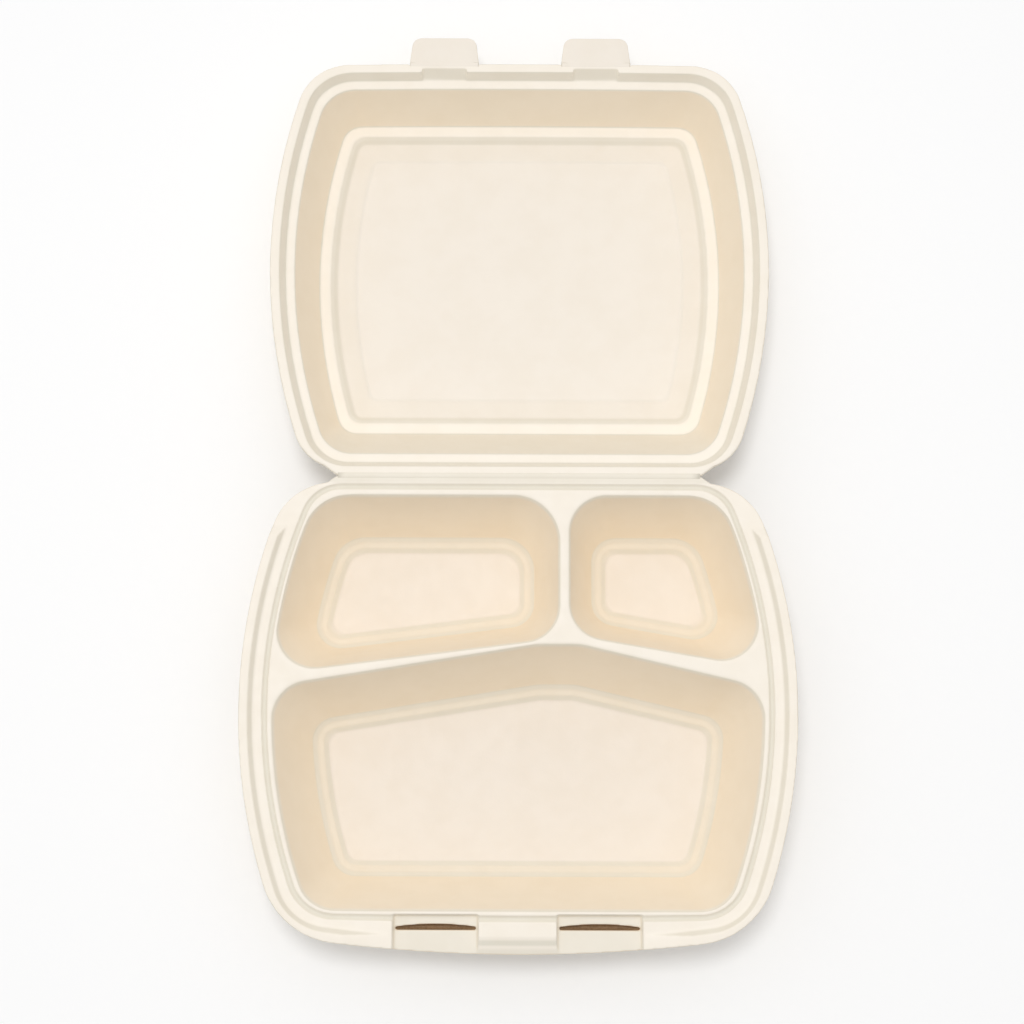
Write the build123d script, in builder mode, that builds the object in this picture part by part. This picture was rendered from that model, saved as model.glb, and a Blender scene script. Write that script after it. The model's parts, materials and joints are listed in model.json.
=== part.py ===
"""Hinged foam meal box: a three-compartment tray, its lid and two locking tabs.

The box lies open. The tray stands on its compartment floors. The lid is turned
back on the crease behind the tray and rests on the far edge of its panel.
Millimetres, +Z up, +Y from the tray towards the open lid, origin on the table
under the middle of the tray.
"""
import math
import os

from build123d import *

os.makedirs("parts", exist_ok=True)

# Foam sheet and the overrun of cuts
sheet = 2.2
overrun = 5.0

# Tray outline
tray_width = 241.0
tray_depth = 206.0
ridge_height = 39.0
tray_side_radius = 243.0
tray_front_bow = 7.7
tray_back_radius = 28.0
tray_front_radius = 36.0
edge_tighten_share = 2.4

# Hinge crease
hinge_length = 160.0
hinge_flare = 5.0
hinge_setback = 3.0
hinge_gap = 0.4
seat_gap = 0.3

# Tray rim, from the outer edge inwards
lip_width = 3.7
lip_slope = 2.3
lip_rise = 2.0
lip_back_setback = 22.0
lip_back_ramp = 5.0
lip_front_gap = 107.0
lip_front_ramp = 20.0
ridge_width = 3.8
valley_width = 2.4
valley_depth = 0.9
valley_slope = 0.5
bead_width = 2.1
rear_bead_width = 1.2
back_ridge_width = 0.8
back_bead_width = 2.6
valley_front_setback = 13.8
valley_front_bow = 1.0
valley_front_radius = 21.2

# Front closure
apron_depth = 7.4
apron_drop = 2.5
recess_width = 35.2
recess_drop = 2.5
recess_draft = 15.0
slot_spacing = 69.6
slot_length = 34.6
slot_clearance = 0.3
slot_bow = 0.6

# Compartments
divider_width = 4.4
divider_fall = 18.5
left_peak_drop = 1.7
left_fall = 15.8
right_fall = 14.5
spine_x = 20.0
peak_x = 17.5
peak_width = 19.0
peak_setback = 72.0
mouth_radius = 16.0
rear_radius = 20.0
peak_radius = 22.0
foot_tighten = 5.0
floor_tighten = 10.0
side_run = 15.0
rear_side_run = 13.4
back_run = 14.4
front_run = 14.7
divider_run = 11.1
main_divider_run = 15.4
ledge_width = 4.0
step_run = 2.3
step_height = 2.0
foot_rise = 1.6
foot_reach = 1.5

# Lid outline
lid_side_gap = 2.3
lid_front_setback = 11.3
lid_side_radius = 262.0
lid_waist_shift = 2.5
lid_front_bow = 0.9
lid_back_radius = 22.0
lid_front_radius = 24.0

# Lid section, from the outer edge inwards
flange_width = 4.1
flange_step_run = 2.7
flange_step_height = 4.0
lid_ledge_width = 3.9
lid_wall_run = 9.5
lid_back_wall_run = 14.8
lid_wall_height = 21.5
shoulder_width = 4.6
rib_run = 3.6
rib_height = 2.5
border_width = 8.0
panel_run = 0.8
panel_drop = 0.5
panel_radius = 4.0
panel_bow = 0.3

# Locking tabs
tab_sheet = 1.3
tab_fold_inset = 0.6
tab_length = 13.5
tab_root_width = 32.0
tab_tip_width = 28.8
tab_tip_radius = 4.5
tab_bevel_width = 3.6
tab_bevel_height = 0.6
tab_gap = 0.3
notch_width = 20.4
notch_depth = 2.1

# Places worked out from the sizes
half_width = tray_width / 2
hinge_y = tray_depth / 2
hinge_z = ridge_height + seat_gap / 2
back_y = hinge_y - hinge_setback
front_y = -hinge_y
waist_y = (back_y + front_y + tray_front_bow) / 2
seat_inset = lip_width + lip_slope
valley_inset = seat_inset + ridge_width
bead_inset = valley_inset + valley_width
mouth_inset = bead_inset + bead_width
rear_mouth_inset = bead_inset + rear_bead_width
valley_back_y = back_y - back_ridge_width
valley_front_y = front_y + valley_front_setback
mouth_back_y = valley_back_y - valley_width - back_bead_width
mouth_front_y = valley_front_y + valley_width + bead_width
ledge_z = sheet + step_height
lid_half_width = half_width - seat_inset - lid_side_gap
lid_depth = tray_depth - lid_front_setback
fold_distance = lid_depth - tab_fold_inset
tab_x = slot_spacing / 2


def side_half(half, radius, inset, away):
    """Half width of a bowed outline at a distance from its widest line."""
    return half - radius + math.sqrt((radius - inset) ** 2 - away**2)


def barrel(plane, half, side_radius, waist, back, front, front_bow, inset, back_radius, front_radius):
    """Face with bowed sides and front, a straight back and rounded corners."""
    corner = front - math.copysign(front_bow, front - back)
    back_half = side_half(half, side_radius, inset, back - waist)
    corner_half = side_half(half, side_radius, inset, corner - waist)
    with BuildSketch(plane) as face:
        with BuildLine():
            Line((-back_half, back), (back_half, back))
            ThreePointArc((back_half, back), (half - inset, waist), (corner_half, corner))
            ThreePointArc((corner_half, corner), (0, front), (-corner_half, corner))
            ThreePointArc((-corner_half, corner), (inset - half, waist), (-back_half, back))
        make_face()
        fillet(face.vertices().sort_by_distance((0, corner))[:2], front_radius)
        fillet(face.vertices().sort_by_distance((0, back))[:2], back_radius)
    return face.sketch


def tray_face(height, inset=0):
    """Tray outline drawn in by an inset all round."""
    return barrel(
        Plane.XY.offset(height), half_width, tray_side_radius, waist_y, back_y - inset, front_y + inset,
        tray_front_bow, inset, tray_back_radius - inset, tray_front_radius - inset * edge_tighten_share,
    )


def valley_face(height, inset):
    """Outline of the shallow valley, drawn in by a further inset."""
    depth = valley_inset + inset
    return barrel(
        Plane.XY.offset(height), half_width, tray_side_radius, waist_y, valley_back_y - inset,
        valley_front_y + inset, valley_front_bow, depth, tray_back_radius - depth,
        valley_front_radius - inset,
    )


def moved_in(corners, runs):
    """Corners of a counter-clockwise outline whose edges each move in by their own run."""
    moved = []
    for index, corner in enumerate(corners):
        before = (corner - corners[index - 1]).normalized()
        after = (corners[(index + 1) % len(corners)] - corner).normalized()
        shift = after * runs[index - 1] - before * runs[index]
        moved.append(corner + shift / before.cross(after).Z)
    return moved


def on_rim(point, along, inset):
    """Where a line through a point meets the side's curve, drawn in by an inset."""
    centre = Vector(math.copysign(tray_side_radius - half_width, -point.X), waist_y)
    away = point - centre
    reach = along.dot(away)
    over = away.length**2 - (tray_side_radius - inset) ** 2
    return point + along * (math.copysign(math.sqrt(reach**2 - over), reach) - reach)


def bay_face(bay, height, insets, tighten):
    """Rounded outline of a compartment, each edge drawn in by its inset; the sides follow the rim."""
    corners, _, sides, rim_inset, radii = bay
    outline = moved_in(corners, insets)
    for index in sides:
        following = (index + 1) % len(outline)
        inset = rim_inset + insets[index]
        before = (outline[index] - outline[index - 1]).normalized()
        after = (outline[following] - outline[(following + 1) % len(outline)]).normalized()
        outline[index] = on_rim(outline[index], before, inset)
        outline[following] = on_rim(outline[following], after, inset)
    with BuildSketch(Plane.XY.offset(height)) as face:
        with BuildLine():
            for index, start in enumerate(outline):
                end = outline[(index + 1) % len(outline)]
                if index in sides:
                    RadiusArc(start, end, rim_inset + insets[index] - tray_side_radius)
                else:
                    Line(start, end)
        make_face()
        for corner, radius in zip(outline, radii):
            fillet(face.vertices().sort_by_distance(corner)[:1], radius - tighten)
    return face.sketch


def bay_solid(bay, grow=0):
    """Space of a compartment: sloping walls with a chamfered foot, a ledge and a sunk floor.

    Grown by the sheet it also sinks by the sheet, has a plain foot, and is the outside of the foam.
    """
    def level(height, run_share, reach, tighten):
        insets = [run * run_share + reach - grow for run in bay[1]]
        return bay_face(bay, height, insets, tighten - grow)

    if grow:
        foot = [level(ledge_z - grow, 1, 0, foot_tighten)]
    else:
        wall_share = 1 - foot_rise / (ridge_height - ledge_z)
        foot = [
            level(ledge_z + foot_rise, wall_share, 0, foot_tighten * wall_share),
            level(ledge_z, 1, foot_reach, foot_tighten + foot_reach),
        ]
    with BuildPart() as space:
        loft([level(ridge_height, 0, 0, 0), *foot], ruled=True)
        loft(
            [
                level(ledge_z - grow, 1, ledge_width, floor_tighten),
                level(sheet - grow, 1, ledge_width + step_run, floor_tighten),
            ],
            ruled=True,
        )
    return space.part


# Compartment mouths, counter-clockwise: corners, wall runs, sides along the rim, its inset, corner radii
def mouth_half(y, inset):
    """Half width of the space inside the rim bead."""
    return side_half(half_width, tray_side_radius, inset, y - waist_y)


peak_front_y = hinge_y - peak_setback - divider_width / 2
peak_back_y = hinge_y - peak_setback + divider_width / 2
fall_front_y = peak_front_y - divider_fall
left_back_y = peak_back_y - left_peak_drop
left_fall_y = left_back_y - left_fall
right_fall_y = peak_back_y - right_fall
spine_left = spine_x - divider_width / 2
spine_right = spine_x + divider_width / 2
main_bay = (
    [
        Vector(-mouth_half(mouth_front_y, mouth_inset), mouth_front_y),
        Vector(mouth_half(mouth_front_y, mouth_inset), mouth_front_y),
        Vector(mouth_half(fall_front_y, mouth_inset), fall_front_y),
        Vector(peak_x + peak_width / 2, peak_front_y),
        Vector(peak_x - peak_width / 2, peak_front_y),
        Vector(-mouth_half(fall_front_y, mouth_inset), fall_front_y),
    ],
    [front_run, side_run, main_divider_run, main_divider_run, main_divider_run, side_run],
    (1, 5),
    mouth_inset,
    [mouth_radius, mouth_radius, mouth_radius, peak_radius, peak_radius, mouth_radius],
)
left_bay = (
    [
        Vector(-mouth_half(left_fall_y, rear_mouth_inset), left_fall_y),
        Vector(spine_left, left_back_y),
        Vector(spine_left, mouth_back_y),
        Vector(-mouth_half(mouth_back_y, rear_mouth_inset), mouth_back_y),
    ],
    [divider_run, divider_run, back_run, rear_side_run],
    (3,),
    rear_mouth_inset,
    [mouth_radius, mouth_radius, rear_radius, rear_radius],
)
right_bay = (
    [
        Vector(spine_right, peak_back_y),
        Vector(mouth_half(right_fall_y, rear_mouth_inset), right_fall_y),
        Vector(mouth_half(mouth_back_y, rear_mouth_inset), mouth_back_y),
        Vector(spine_right, mouth_back_y),
    ],
    [divider_run, rear_side_run, back_run, divider_run],
    (1,),
    rear_mouth_inset,
    [mouth_radius, mouth_radius, rear_radius, mouth_radius],
)
bays = [main_bay, left_bay, right_bay]

# Raised lip round the sides and the front corners, with sloping ends
lip_back_y = hinge_y - lip_back_setback
lip_gap_half = lip_front_gap / 2
with BuildPart() as lip:
    extrude(tray_face(ridge_height), amount=lip_rise)
    loft([tray_face(ridge_height, seat_inset), tray_face(ridge_height + lip_rise, lip_width)],
         ruled=True, mode=Mode.SUBTRACT)
    with BuildSketch(Plane.YZ):
        with BuildLine():
            Polyline(
                (lip_back_y, ridge_height),
                (hinge_y, ridge_height),
                (hinge_y, ridge_height + lip_rise),
                (lip_back_y - lip_back_ramp, ridge_height + lip_rise),
                close=True,
            )
        make_face()
    extrude(amount=tray_width, both=True, mode=Mode.SUBTRACT)
    with BuildSketch(Plane.XZ):
        with BuildLine():
            Polyline(
                (-lip_gap_half, ridge_height),
                (lip_gap_half, ridge_height),
                (lip_gap_half + lip_front_ramp, ridge_height + lip_rise),
                (-lip_gap_half - lip_front_ramp, ridge_height + lip_rise),
                close=True,
            )
        make_face()
    extrude(amount=tray_depth, both=True, mode=Mode.SUBTRACT)

# Sloping apron in the middle of the front, between the recesses
with BuildPart() as apron:
    with BuildSketch(Plane.YZ):
        with BuildLine():
            Polyline(
                (front_y + apron_depth, ridge_height),
                (front_y, ridge_height),
                (front_y, ridge_height - apron_drop),
                close=True,
            )
        make_face()
    extrude(amount=tab_x, both=True)
    extrude(tray_face(ridge_height - apron_drop), amount=apron_drop, mode=Mode.INTERSECT)

# Groove between the ridge and the rim bead
with BuildPart() as valley:
    loft([valley_face(ridge_height, 0), valley_face(ridge_height - valley_depth, valley_slope)], ruled=True)
    loft([valley_face(ridge_height, valley_width),
          valley_face(ridge_height - valley_depth, valley_width - valley_slope)],
         ruled=True, mode=Mode.SUBTRACT)


def hinge_strip(plane, edge, root):
    """Strip along the crease, flaring from its edge to the outline it grows from."""
    half = hinge_length / 2
    with BuildSketch(plane) as strip:
        with BuildLine():
            Polyline(
                (-half, edge), (half, edge), (half + hinge_flare, root), (-half - hinge_flare, root), close=True
            )
        make_face()
    return strip.sketch


def slot_face(height, centre):
    """Slot with a straight front and a bowed back, loose round a folded tab."""
    half = slot_length / 2
    front = hinge_y - fold_distance - tab_sheet - slot_clearance
    back = hinge_y - fold_distance + slot_clearance
    with BuildSketch(Plane.XY.offset(height)) as slot:
        with BuildLine():
            Polyline(
                (centre - half, back - tab_bevel_height),
                (centre - half, front),
                (centre + half, front),
                (centre + half, back - tab_bevel_height),
            )
            ThreePointArc(
                (centre + half, back - tab_bevel_height),
                (centre, back + slot_bow),
                (centre - half, back - tab_bevel_height),
            )
        make_face()
    return slot.sketch


# Tray
recess_back_y = valley_front_y + valley_width
with BuildPart() as tray:
    extrude(tray_face(ridge_height - sheet), amount=sheet)
    strip = hinge_strip(Plane.XY.offset(ridge_height - sheet), hinge_y - hinge_gap / 2, valley_back_y)
    extrude(strip, amount=sheet)
    add(lip.part)
    add(lip.part.moved(Location((0, 0, -sheet))), mode=Mode.SUBTRACT)
    add(apron.part.moved(Location((0, 0, -sheet))))
    with BuildSketch(Plane.XY.offset(ridge_height - recess_drop - sheet)):
        with Locations((-tab_x, recess_back_y + sheet), (tab_x, recess_back_y + sheet)):
            Rectangle(recess_width + 2 * sheet, tray_depth, align=(Align.CENTER, Align.MAX))
        add(tray_face(0), mode=Mode.INTERSECT)
    extrude(amount=recess_drop)
    add(apron.part, mode=Mode.SUBTRACT)
    for bay in bays:
        add(bay_solid(bay, grow=sheet))
    add(valley.part, mode=Mode.SUBTRACT)
    with BuildSketch(Plane.XY.offset(ridge_height - recess_drop)):
        with Locations((-tab_x, recess_back_y), (tab_x, recess_back_y)):
            Rectangle(recess_width, tray_depth, align=(Align.CENTER, Align.MAX))
    extrude(amount=recess_drop + lip_rise, taper=-recess_draft, mode=Mode.SUBTRACT)
    for centre in (-tab_x, tab_x):
        extrude(slot_face(ridge_height, centre), amount=-recess_drop - sheet - overrun, mode=Mode.SUBTRACT)
    for bay in bays:
        add(bay_solid(bay), mode=Mode.SUBTRACT)
tray.part.label = "tray"
export_step(tray.part, "parts/tray.step")

# Lid plane: the crease is its X axis, and the open lid hangs down from it to the table
panel_inset = (
    flange_width + flange_step_run + lid_ledge_width + lid_wall_run
    + shoulder_width + rib_run + border_width + panel_run
)
border_inset = panel_inset - panel_run - border_width
back_extra = lid_back_wall_run - lid_wall_run
panel_depth = flange_step_height + lid_wall_height + rib_height + panel_drop
lid_waist = (hinge_setback + lid_depth - lid_front_bow) / 2 + lid_waist_shift


def droop_to_table(inset, depth):
    """Angle at which an outside edge of the lid, at an inset and depth, meets the table."""
    reach = lid_depth - inset + sheet
    drop = depth + sheet + seat_gap / 2
    return math.asin(hinge_z / math.hypot(reach, drop)) - math.atan2(drop, reach)


droop = min(droop_to_table(panel_inset, panel_depth), droop_to_table(border_inset, panel_depth - panel_drop))
lid_plane = Plane(
    origin=(0, hinge_y, hinge_z), x_dir=(1, 0, 0), z_dir=(0, math.sin(droop), math.cos(droop))
).offset(-seat_gap / 2)


def lid_face(depth, inset, extra=0, grow=0):
    """Lid outline at a depth below the flange; corners tighten from the edge to the panel."""
    share = min(inset / border_inset, 1)
    back_radius = lid_back_radius + (panel_radius - lid_back_radius) * share
    front_radius = lid_front_radius + (panel_radius - lid_front_radius) * share
    bow = lid_front_bow + (panel_bow - lid_front_bow) * share
    return barrel(
        lid_plane.offset(-depth), lid_half_width, lid_side_radius, lid_waist,
        max(inset + extra, hinge_setback) - grow, lid_depth - inset + grow, bow, inset - grow,
        back_radius + grow, front_radius + grow,
    )


def lid_solid(grow=0):
    """Space inside the lid: four sloping bands between level ones.

    Grown by the sheet it also sinks by the sheet, and is the outside of the foam.
    """
    bands = [
        (flange_width, flange_step_run, flange_step_height, 0, 0),
        (lid_ledge_width, lid_wall_run, lid_wall_height, 0, back_extra),
        (shoulder_width, rib_run, rib_height, back_extra, back_extra),
        (border_width, panel_run, panel_drop, back_extra, back_extra),
    ]
    inset = 0
    depth = grow
    with BuildPart() as space:
        for width, run, height, extra, extra_below in bands:
            inset += width
            top = lid_face(depth, inset, extra, grow)
            inset += run
            depth += height
            loft([top, lid_face(depth, inset, extra_below, grow)], ruled=True)
    return space.part


# Lid, with a sloping notch behind each tab
notch_plane = Plane(origin=lid_plane.origin, x_dir=lid_plane.y_dir, z_dir=lid_plane.x_dir)
fold_edge = fold_distance - tab_gap / 2
notch_back = lid_depth - flange_width - flange_step_run
notch_front = lid_depth - flange_width + notch_depth
with BuildPart() as lid:
    extrude(lid_face(sheet, 0), amount=sheet)
    strip = hinge_strip(lid_plane.offset(-sheet), hinge_gap / 2, hinge_setback + back_ridge_width)
    extrude(strip, amount=sheet)
    add(lid_solid(grow=sheet))
    with BuildSketch(lid_plane):
        with Locations((-tab_x, fold_edge), (tab_x, fold_edge)):
            Rectangle(tab_root_width + 2 * tab_gap, tray_depth, align=(Align.CENTER, Align.MIN))
    extrude(amount=-sheet, mode=Mode.SUBTRACT)
    add(lid_solid(), mode=Mode.SUBTRACT)
    for centre in (-tab_x, tab_x):
        with BuildSketch(notch_plane.offset(centre)):
            with BuildLine():
                Polyline((notch_front, 0), (notch_back, 0), (notch_back, -flange_step_height), close=True)
            make_face()
        extrude(amount=notch_width / 2, both=True, mode=Mode.SUBTRACT)
lid.part.label = "lid"
export_step(lid.part, "parts/lid.step")


def tab_face(depth, centre, bevel):
    """Tapered tongue from the fold to its rounded tip."""
    root = fold_distance + tab_gap / 2
    tip = fold_distance + tab_length - bevel
    root_half = tab_root_width / 2 - bevel
    tip_half = tab_tip_width / 2 - bevel
    with BuildSketch(lid_plane.offset(-depth)) as face:
        with BuildLine():
            Polyline(
                (centre - root_half, root),
                (centre + root_half, root),
                (centre + tip_half, tip),
                (centre - tip_half, tip),
                close=True,
            )
        make_face()
        fillet(face.vertices().sort_by(Axis.Y)[-2:], tab_tip_radius)
    return face.sketch


# Tabs: a flat tongue with a raised middle
for name, centre in (("left_tab", -tab_x), ("right_tab", tab_x)):
    with BuildPart() as tab:
        extrude(tab_face(tab_sheet, centre, 0), amount=tab_sheet - tab_bevel_height)
        loft([tab_face(tab_bevel_height, centre, 0), tab_face(0, centre, tab_bevel_width)], ruled=True)
    tab.part.label = name
    export_step(tab.part, f"parts/{name}.step")

fold_axis = lid_plane.from_local_coords((0, fold_distance, 0))
print("hinge axis", (0, hinge_y, hinge_z), "lid droop in degrees", math.degrees(droop))
print("tab fold axis", fold_axis)
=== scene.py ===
"""Looks of the open foam meal box: soft foam shells, crease webs, soft light and the photo's camera."""
import json
import math

import bmesh
import bpy
import numpy as np
from mathutils import Matrix, Vector


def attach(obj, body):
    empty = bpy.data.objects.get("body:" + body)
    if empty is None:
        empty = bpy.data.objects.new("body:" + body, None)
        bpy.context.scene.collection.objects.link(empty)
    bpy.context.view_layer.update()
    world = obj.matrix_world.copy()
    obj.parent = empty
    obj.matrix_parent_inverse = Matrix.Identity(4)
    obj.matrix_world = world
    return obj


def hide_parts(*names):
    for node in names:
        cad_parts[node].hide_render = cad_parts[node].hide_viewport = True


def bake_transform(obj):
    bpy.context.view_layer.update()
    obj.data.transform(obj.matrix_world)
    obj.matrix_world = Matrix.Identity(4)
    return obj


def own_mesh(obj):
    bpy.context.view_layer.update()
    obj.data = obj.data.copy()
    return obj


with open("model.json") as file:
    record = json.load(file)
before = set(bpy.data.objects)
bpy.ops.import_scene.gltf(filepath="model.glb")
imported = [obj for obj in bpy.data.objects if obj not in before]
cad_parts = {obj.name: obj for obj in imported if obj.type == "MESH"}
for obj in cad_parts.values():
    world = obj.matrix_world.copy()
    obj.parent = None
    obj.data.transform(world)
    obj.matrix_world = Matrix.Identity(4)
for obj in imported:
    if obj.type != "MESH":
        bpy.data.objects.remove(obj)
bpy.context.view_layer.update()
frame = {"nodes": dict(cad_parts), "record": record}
joints = {joint["name"]: joint for joint in frame["record"]["behaviour"]["joints"]}

# Camera, fitted to the photo
IMAGE_SIZE = 1024
CAMERA_PLACE = Vector((-0.0030, -0.0613, 0.9231))
CAMERA_ELEVATION = math.radians(80.49)
CAMERA_ROLL = math.radians(0.2)
FOCAL_PIXELS = 2048
SENSOR_WIDTH = 36.0

# Floor, sky and the soft lamp overhead
FLOOR_SIZE = 6.0
FLOOR_DROP = 0.0002
FLOOR_COLOUR = (0.95, 0.95, 0.95, 1.0)
FLOOR_ROUGHNESS = 0.9
FLOOR_LIFT = 0.05
WHITE = (1.0, 1.0, 1.0, 1.0)
SKY_TOWARDS = Vector((-0.12, 0.30, 0.95)).normalized()
SKY_DIM = 0.16
SKY_BRIGHT = 0.89
SKY_DIM_FROM = -0.3
SKY_SEEN = 0.97
LAMP_PLACE = Vector((-0.09, 0.22, 1.60))
LAMP_AIM = Vector((0.0, 0.10, 0.03))
LAMP_SIZE = 0.42
LAMP_WATTS = 7.9

# Foam colours: level bands painted paler as a highlight, tray floors, lid panel, compartment ledges, pressed
# bands, the groove and gentle slopes darkened as painted shade, rim slopes, and walls painted deep tan as
# shade, then the tint of the mottling and the dark brown painted shade of the slots' flaps
FOAM_BAND_HIGHLIGHT = (0.95, 0.88, 0.775, 1.0)
FOAM_FLOOR = (0.865, 0.785, 0.69, 1.0)
FOAM_PANEL = (0.895, 0.825, 0.73, 1.0)
FOAM_LEDGE = (0.83, 0.745, 0.615, 1.0)
FOAM_PRESSED = (0.87, 0.81, 0.70, 1.0)
FOAM_GROOVE_SHADE = (0.81, 0.76, 0.65, 1.0)
FOAM_SLOPE_SHADE = (0.83, 0.77, 0.655, 1.0)
FOAM_RIM = (0.92, 0.85, 0.73, 1.0)
FOAM_WALL_SHADE = (0.955, 0.84, 0.675, 1.0)
FOAM_MOTTLE = (0.985, 0.98, 0.97, 1.0)
SLOT_SHADE_LIGHT = (0.46, 0.30, 0.17, 1.0)
SLOT_SHADE_DARK = (0.34, 0.21, 0.11, 1.0)

# How upright a normal is on level foam, on a gentle slope and on a wall
LEVEL_FULL = 0.97
LEVEL_NONE = 0.76
GENTLE_FULL = 0.70
GENTLE_NONE = 0.42

# Heights that part floor from ledge, ledge from bands, and walls from the rim's slopes. The tray's count from
# the table, the others from the hinge. The tabs lie below theirs, so their level foam is all panel.
TRAY_FLOOR = (0.0026, 0.0038)
TRAY_LEDGE = (0.0060, 0.0110)
TRAY_RIM = (0.0355, 0.0380)
LID_FLOOR = (-0.0286, -0.0272)
LID_LEDGE = (-0.0272, -0.0266)
LID_RIM = (-0.0060, -0.0036)
TAB_FLOOR = (0.0100, 0.0110)
TAB_LEDGE = (0.0120, 0.0130)

# Groove round the tray's rim, darkened as painted shade: heights over which its colour deepens and ends
GROOVE_SHADE_DEEP = (0.0376, 0.0380)
GROOVE_SHADE_END = (0.0383, 0.0388)

# Pressed bands: the crease's side of the tray's back flange, and the low front with its recesses
BACKWARDS = Vector((0, 1, 0))
BACK_PRESSED = (0.0990, 0.1005)
FRONT_PRESSED = (-0.0845, -0.0880)
FRONT_BELOW = (0.0376, 0.0370)

# Foam grain: cells, mottling and gloss. Scales are in cycles to the metre, spans are parts of the noise, and
# the range is of roughness.
CELL_SCALE = 1100.0
CELL_STRENGTH = 0.10
CELL_DEPTH = 0.00012
MOTTLE_SCALE = 75.0
MOTTLE_DETAIL = 4.0
MOTTLE_SPAN = (0.35, 0.68)
GLOSS_SCALE = 260.0
GLOSS_DETAIL = 3.0
GLOSS_SPAN = (0.3, 0.7)
GLOSS_RANGE = (0.46, 0.62)
FOAM_SPECULAR = 0.3

# Shells: size of the remeshed cells, strength and rounds of smoothing, and the most triangles
SHELL_CELL = 0.0005
TAB_CELL = 0.0003
SMOOTH_FACTOR = 0.5
SMOOTH_ROUNDS = 4
SHELL_TRIANGLES = 180000

# Mouth of the compartments in plan: radius of its bowed sides, centre of the right one's arc from the origin,
# to the left and backwards, back and front edges, and corner radius
MOUTH_SIDE_RADIUS = 0.2287
MOUTH_SIDE_CENTRE = (0.1225, 0.00235)
MOUTH_BACK = 0.0942
MOUTH_FRONT = -0.0847
MOUTH_CORNER = 0.018

# Rounding off of mouths and dividers: spans over which it sets in, inwards and upwards, its levels and rounds
MOUTH_INWARDS = (-0.0014, 0.0004)
MOUTH_UPWARDS = (0.008, 0.014)
MOUTH_LEVELS = 8
MOUTH_ROUNDS = 32

# Crease webs: half length at the hinge and at a tab, reach to each side, depths at the middle and the edges,
# thickness, and the number of steps across and along
HINGE_HALF = 0.0795
TAB_HALF = 0.0158
WEB_REACH = 0.0014
WEB_GROOVE = -0.00012
WEB_TUCK = 0.00030
WEB_THICKNESS = 0.0007
WEB_STEPS = 8
WEB_LENGTHS = 40

# Cut flaps below the slots, their dark brown tops painted shade for the slots, measured from a shut tab's
# crease: back and front edges, top, sag, half length and thickness
FLAP_BACK = 0.0018
FLAP_FRONT = -0.0025
FLAP_TOP = -0.0051
FLAP_SAG = 0.0036
FLAP_HALF = 0.0179
FLAP_THICKNESS = 0.0005


def new_material(name):
    """New material, with its nodes, links and shader."""
    material = bpy.data.materials.new(name)
    material.use_nodes = True
    nodes = material.node_tree.nodes
    return material, nodes, material.node_tree.links, nodes["Principled BSDF"]


class Weave:
    """Short ways to add and join a material's nodes."""

    def __init__(self, nodes, links):
        self.nodes = nodes
        self.links = links

    def along(self, vector, direction):
        """How far a vector reaches in a direction."""
        node = self.nodes.new("ShaderNodeVectorMath")
        node.operation = "DOT_PRODUCT"
        node.inputs[1].default_value = direction
        self.links.new(vector, node.inputs[0])
        return node.outputs["Value"]

    def absolute(self, value):
        """A value without its sign."""
        node = self.nodes.new("ShaderNodeMath")
        node.operation = "ABSOLUTE"
        self.links.new(value, node.inputs[0])
        return node.outputs[0]

    def times(self, first, second):
        """Product of two values."""
        node = self.nodes.new("ShaderNodeMath")
        node.operation = "MULTIPLY"
        self.links.new(first, node.inputs[0])
        self.links.new(second, node.inputs[1])
        return node.outputs[0]

    def ease(self, value, start, end, low=0.0, high=1.0):
        """Smooth rise from low to high as a value goes from start to end."""
        node = self.nodes.new("ShaderNodeMapRange")
        node.interpolation_type = "SMOOTHSTEP"
        node.inputs["From Min"].default_value = start
        node.inputs["From Max"].default_value = end
        node.inputs["To Min"].default_value = low
        node.inputs["To Max"].default_value = high
        self.links.new(value, node.inputs["Value"])
        return node.outputs["Result"]

    def blend(self, factor, first, second, way="MIX"):
        """Colour between two colours, each a socket or a fixed colour."""
        node = self.nodes.new("ShaderNodeMix")
        node.data_type = "RGBA"
        node.blend_type = way
        self.links.new(factor, node.inputs["Factor"])
        for name, colour in (("A", first), ("B", second)):
            socket = [entry for entry in node.inputs if entry.name == name and entry.type == "RGBA"][0]
            if isinstance(colour, tuple):
                socket.default_value = colour
            else:
                self.links.new(colour, socket)
        return [entry for entry in node.outputs if entry.type == "RGBA"][0]

    def noise(self, vector, scale, detail):
        """Cloudy noise at a scale."""
        node = self.nodes.new("ShaderNodeTexNoise")
        node.inputs["Scale"].default_value = scale
        node.inputs["Detail"].default_value = detail
        self.links.new(vector, node.inputs["Vector"])
        return node.outputs[0]

    def cells(self, vector, scale):
        """Distance from the middles of close-packed cells."""
        node = self.nodes.new("ShaderNodeTexVoronoi")
        node.inputs["Scale"].default_value = scale
        self.links.new(vector, node.inputs["Vector"])
        return node.outputs["Distance"]


def foam_grain(weave, place, shader, tint):
    """Faint mottling, uneven gloss and fine cells over a tint."""
    mottle = weave.ease(weave.noise(place.outputs["Object"], MOTTLE_SCALE, MOTTLE_DETAIL), *MOTTLE_SPAN)
    weave.links.new(weave.blend(mottle, tint, FOAM_MOTTLE, "MULTIPLY"), shader.inputs["Base Color"])
    gloss = weave.noise(place.outputs["Object"], GLOSS_SCALE, GLOSS_DETAIL)
    weave.links.new(weave.ease(gloss, *GLOSS_SPAN, *GLOSS_RANGE), shader.inputs["Roughness"])
    bump = weave.nodes.new("ShaderNodeBump")
    bump.inputs["Strength"].default_value = CELL_STRENGTH
    bump.inputs["Distance"].default_value = CELL_DEPTH
    weave.links.new(weave.cells(place.outputs["Object"], CELL_SCALE), bump.inputs["Height"])
    weave.links.new(bump.outputs["Normal"], shader.inputs["Normal"])
    shader.inputs["Specular IOR Level"].default_value = FOAM_SPECULAR


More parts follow.
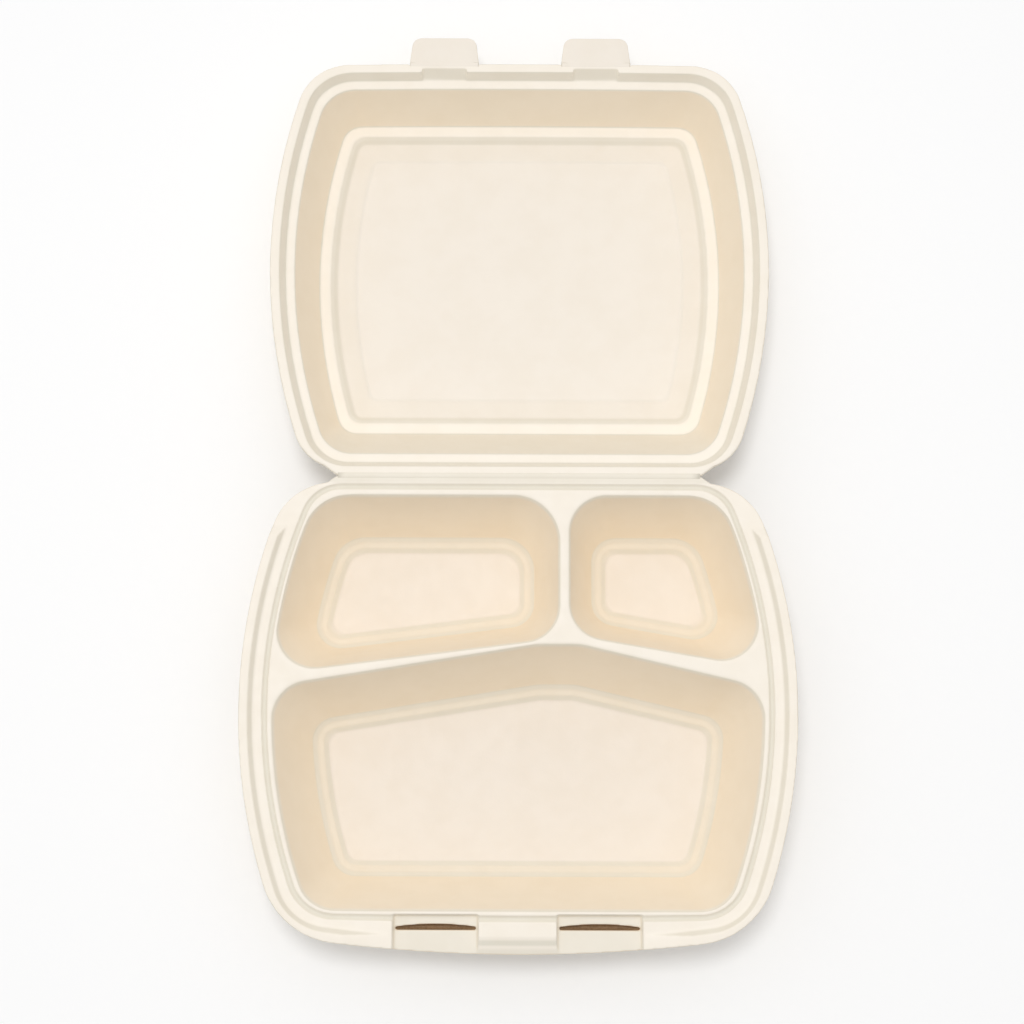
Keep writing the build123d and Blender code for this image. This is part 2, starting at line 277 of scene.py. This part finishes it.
def slot_shade_material():
    """Foam for the flaps below the slots, dark brown as painted shade in the slots, with open cells."""
    material, nodes, links, shader = new_material("foam_slot_shade")
    weave = Weave(nodes, links)
    place = nodes.new("ShaderNodeTexCoord")
    # Dark brown as painted shade seen through the slots
    tint = weave.blend(weave.cells(place.outputs["Object"], CELL_SCALE), SLOT_SHADE_LIGHT, SLOT_SHADE_DARK)
    foam_grain(weave, place, shader, tint)
    return material


def foam_material(name, up, base, floor_tint, floor_span, ledge_span, rim_span, pressed_and_shaded):
    """Foam skin with level bands painted paler as a highlight, and painted shade on slopes and on walls.

    Heights are measured along up from base. Only the tray has the groove, darkened as painted shade, the
    pressed bands, and mouths and dividers whose rounded edges keep the walls' painted shade.
    """
    material, nodes, links, shader = new_material(name)
    weave = Weave(nodes, links)
    place = nodes.new("ShaderNodeTexCoord")
    height = weave.along(place.outputs["Object"], up)
    level = weave.absolute(weave.along(place.outputs["Normal"], up))
    lowest = up.dot(base)
    off_floor, off_ledge, at_rim = (
        weave.ease(height, lowest + span[0], lowest + span[1]) for span in (floor_span, ledge_span, rim_span)
    )
    flat = weave.blend(off_floor, floor_tint, FOAM_LEDGE)
    # Level foam above the ledges is painted paler, a painted highlight on the bands
    flat = weave.blend(off_ledge, flat, FOAM_BAND_HIGHLIGHT)
    if pressed_and_shaded:
        # The groove round the rim is darkened as painted shade
        above = weave.ease(height, *GROOVE_SHADE_DEEP)
        below = weave.ease(height, GROOVE_SHADE_END[1], GROOVE_SHADE_END[0])
        flat = weave.blend(weave.times(above, below), flat, FOAM_GROOVE_SHADE)
        back = weave.along(place.outputs["Object"], BACKWARDS)
        flat = weave.blend(weave.ease(back, *BACK_PRESSED), flat, FOAM_PRESSED)
        front = weave.times(weave.ease(back, *FRONT_PRESSED), weave.ease(height, *FRONT_BELOW))
        flat = weave.blend(front, flat, FOAM_PRESSED)
    # Steep foam below the rim is painted deep tan as shade in the compartments
    steep = weave.blend(at_rim, FOAM_WALL_SHADE, FOAM_RIM)
    # Gentle slopes are darkened as painted shade
    slope = weave.blend(weave.ease(level, GENTLE_NONE, GENTLE_FULL), steep, FOAM_SLOPE_SHADE)
    # Rounded mouths and dividers keep the walls' painted shade
    if pressed_and_shaded:
        up_wall = weave.ease(height, *MOUTH_UPWARDS)
        under_rim = weave.ease(height, lowest + rim_span[1], lowest + rim_span[0])
        slope = weave.blend(weave.times(up_wall, under_rim), slope, FOAM_WALL_SHADE)
    tint = weave.blend(weave.ease(level, LEVEL_NONE, LEVEL_FULL), slope, flat)
    foam_grain(weave, place, shader, tint)
    return material


def settled(shell):
    """The shell's mesh with its modifiers worked in."""
    graph = bpy.context.evaluated_depsgraph_get()
    mesh = bpy.data.meshes.new_from_object(shell.evaluated_get(graph))
    shell.modifiers.clear()
    shell.data = mesh
    return mesh


def eased(values, start, end):
    """Smooth rise from 0 to 1 as values go from start to end."""
    share = np.clip((values - start) / (end - start), 0, 1)
    return share * share * (3 - 2 * share)


def mouth_weights(mesh):
    """How far each point belongs to the mouths and dividers, from 0 to 1."""
    points = np.empty(len(mesh.vertices) * 3)
    mesh.vertices.foreach_get("co", points)
    x, y, z = points.reshape(-1, 3).T
    beyond, middle = MOUTH_SIDE_CENTRE
    side = MOUTH_SIDE_RADIUS - np.hypot(np.abs(x) + beyond, y - middle)
    end = np.minimum(MOUTH_BACK - y, y - MOUTH_FRONT)
    corner = np.hypot(np.maximum(MOUTH_CORNER - side, 0), np.maximum(MOUTH_CORNER - end, 0))
    inside = np.minimum(np.minimum(side, end), MOUTH_CORNER - corner)
    return eased(inside, *MOUTH_INWARDS) * eased(z, *MOUTH_UPWARDS)


def round_off(shell, weights):
    """The shell's mesh, smoothed further where the weights say."""
    group = shell.vertex_groups.new(name="mouths")
    levels = np.rint(weights * MOUTH_LEVELS).astype(int)
    for level in range(1, MOUTH_LEVELS + 1):
        group.add(np.flatnonzero(levels == level).tolist(), level / MOUTH_LEVELS, "REPLACE")
    rounding = shell.modifiers.new("rounding", "SMOOTH")
    rounding.factor = SMOOTH_FACTOR
    rounding.iterations = MOUTH_ROUNDS
    rounding.vertex_group = group.name
    mesh = settled(shell)
    shell.vertex_groups.clear()
    return mesh


def soft_shell(node_name, cell, foam, weights=None):
    """Foam shell in a node's place, with the soft edges of drawn foam, rounded off further by any weights."""
    shell = bpy.data.objects.new(node_name + "_shell", frame["nodes"][node_name].data.copy())
    bpy.context.scene.collection.objects.link(shell)
    remesh = shell.modifiers.new("remesh", "REMESH")
    remesh.mode = "VOXEL"
    remesh.voxel_size = cell
    smooth = shell.modifiers.new("smooth", "SMOOTH")
    smooth.factor = SMOOTH_FACTOR
    smooth.iterations = SMOOTH_ROUNDS
    mesh = settled(shell)
    if weights:
        mesh = round_off(shell, weights(mesh))
    triangles = sum(len(face.vertices) - 2 for face in mesh.polygons)
    if triangles > SHELL_TRIANGLES:
        thin = shell.modifiers.new("thin", "DECIMATE")
        thin.ratio = SHELL_TRIANGLES / triangles
        mesh = settled(shell)
    mesh.shade_smooth()
    mesh.materials.clear()
    mesh.materials.append(foam)
    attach(shell, node_name)
    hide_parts(node_name)


def strip(name, rows, thickness, foam, under):
    """Thin foam strip over rows of points, thickened downwards, with a second foam below and at its edges."""
    mesh = bmesh.new()
    knots = [[mesh.verts.new(point) for point in row] for row in rows]
    for lower, upper in zip(knots, knots[1:]):
        for index in range(len(lower) - 1):
            mesh.faces.new((lower[index], lower[index + 1], upper[index + 1], upper[index]))
    skin = bpy.data.meshes.new(name)
    mesh.to_mesh(skin)
    mesh.free()
    skin.materials.append(foam)
    skin.materials.append(under)
    piece = bpy.data.objects.new(name, skin)
    bpy.context.scene.collection.objects.link(piece)
    solid = piece.modifiers.new("thickness", "SOLIDIFY")
    solid.thickness = thickness
    solid.offset = -1
    solid.material_offset = 1
    solid.material_offset_rim = 1
    settled(piece).shade_smooth()
    return piece


def spread(steps):
    """Even steps from -1 to 1."""
    return [2 * step / steps - 1 for step in range(steps + 1)]


def crease_web(name, crease, half, turn, foam):
    """Thin foam left along a pressed crease, curved across it between the two bodies."""
    rows = []
    for share in spread(WEB_STEPS):
        depth = WEB_GROOVE + (WEB_TUCK - WEB_GROOVE) * share * share
        across = share * WEB_REACH
        rows.append([crease + turn @ Vector((along * half, across, -depth)) for along in spread(WEB_LENGTHS)])
    web = strip(name, rows, WEB_THICKNESS, foam, foam)
    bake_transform(web)


def slot_shade_flap(name, crease, foam, under):
    """Cut flap of foam that sags below a slot, its top coloured as painted shade for the slot."""
    middle = (FLAP_FRONT + FLAP_BACK) / 2
    reach = (FLAP_BACK - FLAP_FRONT) / 2
    rows = []
    for share in spread(WEB_STEPS):
        row = []
        for along in spread(WEB_LENGTHS):
            sag = FLAP_SAG * (1 - share**2) * (1 - along**4)
            row.append(crease + Vector((along * FLAP_HALF, middle + share * reach, FLAP_TOP - sag)))
        rows.append(row)
    flap = strip(name, rows, FLAP_THICKNESS, foam, under)
    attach(flap, "tray")
    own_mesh(flap)


def sky():
    """Soft studio sky, brightest overhead, a little to the back and left, and plain white to the camera."""
    world = bpy.data.worlds.new("studio")
    world.use_nodes = True
    nodes = world.node_tree.nodes
    links = world.node_tree.links
    place = nodes.new("ShaderNodeTexCoord")
    towards = Weave(nodes, links).along(place.outputs["Generated"], SKY_TOWARDS)
    strength = nodes.new("ShaderNodeMapRange")
    strength.inputs["From Min"].default_value = SKY_DIM_FROM
    strength.inputs["From Max"].default_value = 1.0
    strength.inputs["To Min"].default_value = SKY_DIM
    strength.inputs["To Max"].default_value = SKY_BRIGHT
    links.new(towards, strength.inputs["Value"])
    background = nodes["Background"]
    background.inputs["Color"].default_value = WHITE
    rays = nodes.new("ShaderNodeLightPath")
    seen = nodes.new("ShaderNodeMapRange")
    links.new(rays.outputs["Is Camera Ray"], seen.inputs["Value"])
    links.new(strength.outputs["Result"], seen.inputs["To Min"])
    seen.inputs["To Max"].default_value = SKY_SEEN
    links.new(seen.outputs["Result"], background.inputs["Strength"])
    bpy.context.scene.world = world


def lamp():
    """Soft round lamp overhead."""
    light = bpy.data.lights.new("overhead", "AREA")
    light.shape = "DISK"
    light.size = LAMP_SIZE
    light.energy = LAMP_WATTS
    overhead = bpy.data.objects.new("overhead", light)
    overhead.location = LAMP_PLACE
    overhead.rotation_mode = "QUATERNION"
    overhead.rotation_quaternion = (LAMP_AIM - LAMP_PLACE).to_track_quat("-Z", "Y")
    bpy.context.scene.collection.objects.link(overhead)


def floor():
    """Pale floor, a little lifted towards white as the camera sees it."""
    bpy.ops.mesh.primitive_plane_add(size=FLOOR_SIZE, location=(0, 0, -FLOOR_DROP))
    plane = bpy.context.object
    plane.name = "floor"
    material, nodes, links, shader = new_material("floor_white")
    shader.inputs["Base Color"].default_value = FLOOR_COLOUR
    shader.inputs["Roughness"].default_value = FLOOR_ROUGHNESS
    shader.inputs["Emission Color"].default_value = WHITE
    rays = nodes.new("ShaderNodeLightPath")
    lift = nodes.new("ShaderNodeMath")
    lift.operation = "MULTIPLY"
    lift.inputs[1].default_value = FLOOR_LIFT
    links.new(rays.outputs["Is Camera Ray"], lift.inputs[0])
    links.new(lift.outputs[0], shader.inputs["Emission Strength"])
    plane.data.materials.append(material)


def photo_camera():
    """Camera at the photo's place, with its slight roll."""
    lens = bpy.data.cameras.new("photo_camera")
    lens.sensor_width = SENSOR_WIDTH
    lens.lens = SENSOR_WIDTH * FOCAL_PIXELS / IMAGE_SIZE
    camera = bpy.data.objects.new("photo_camera", lens)
    bpy.context.scene.collection.objects.link(camera)
    forward = Vector((0, math.cos(CAMERA_ELEVATION), -math.sin(CAMERA_ELEVATION)))
    right = Vector((1, 0, 0))
    up = right.cross(forward)
    rolled_right = right * math.cos(CAMERA_ROLL) + up * math.sin(CAMERA_ROLL)
    rolled_up = up * math.cos(CAMERA_ROLL) - right * math.sin(CAMERA_ROLL)
    turn = Matrix((rolled_right, rolled_up, -forward)).transposed().to_4x4()
    camera.matrix_world = Matrix.Translation(CAMERA_PLACE) @ turn
    bpy.context.scene.camera = camera


# The open lid's droop below level is what its hinge travels beyond a half turn
droop = math.radians(joints["lid_hinge"]["range_deg"][1] - 180)
hinge = Vector(joints["lid_hinge"]["pos_m"])
tray_up = Vector((0, 0, 1))
lid_turn = Matrix.Rotation(-droop, 3, "X")
lid_up = lid_turn @ tray_up
tray_foam = foam_material("foam_tray", tray_up, Vector(), FOAM_FLOOR, TRAY_FLOOR, TRAY_LEDGE, TRAY_RIM, True)
lid_foam = foam_material("foam_lid", lid_up, hinge, FOAM_PANEL, LID_FLOOR, LID_LEDGE, LID_RIM, False)
tab_foam = foam_material("foam_tab", lid_up, hinge, FOAM_PANEL, TAB_FLOOR, TAB_LEDGE, LID_RIM, False)
slot_shade_foam = slot_shade_material()

soft_shell("tray", SHELL_CELL, tray_foam, mouth_weights)
soft_shell("lid", SHELL_CELL, lid_foam)
crease_web("hinge_web", hinge, HINGE_HALF, Matrix.Rotation(-droop / 2, 3, "X"), tray_foam)
shut = Matrix.Rotation(math.radians(joints["lid_hinge"]["range_deg"][1]), 3, "X")
for side in ("left", "right"):
    joint = side + "_tab_fold"
    fold = Vector(joints[joint]["pos_m"])
    soft_shell(side + "_tab", TAB_CELL, tab_foam)
    crease_web(side + "_tab_web", fold, TAB_HALF, lid_turn, tab_foam)
    # Flaps whose dark tops are painted shade for the slots
    slot_shade_flap(side + "_slot_shade_flap", hinge + shut @ (fold - hinge), slot_shade_foam, tray_foam)

sky()
lamp()
floor()
photo_camera()
bpy.context.scene.view_settings.view_transform = "Standard"
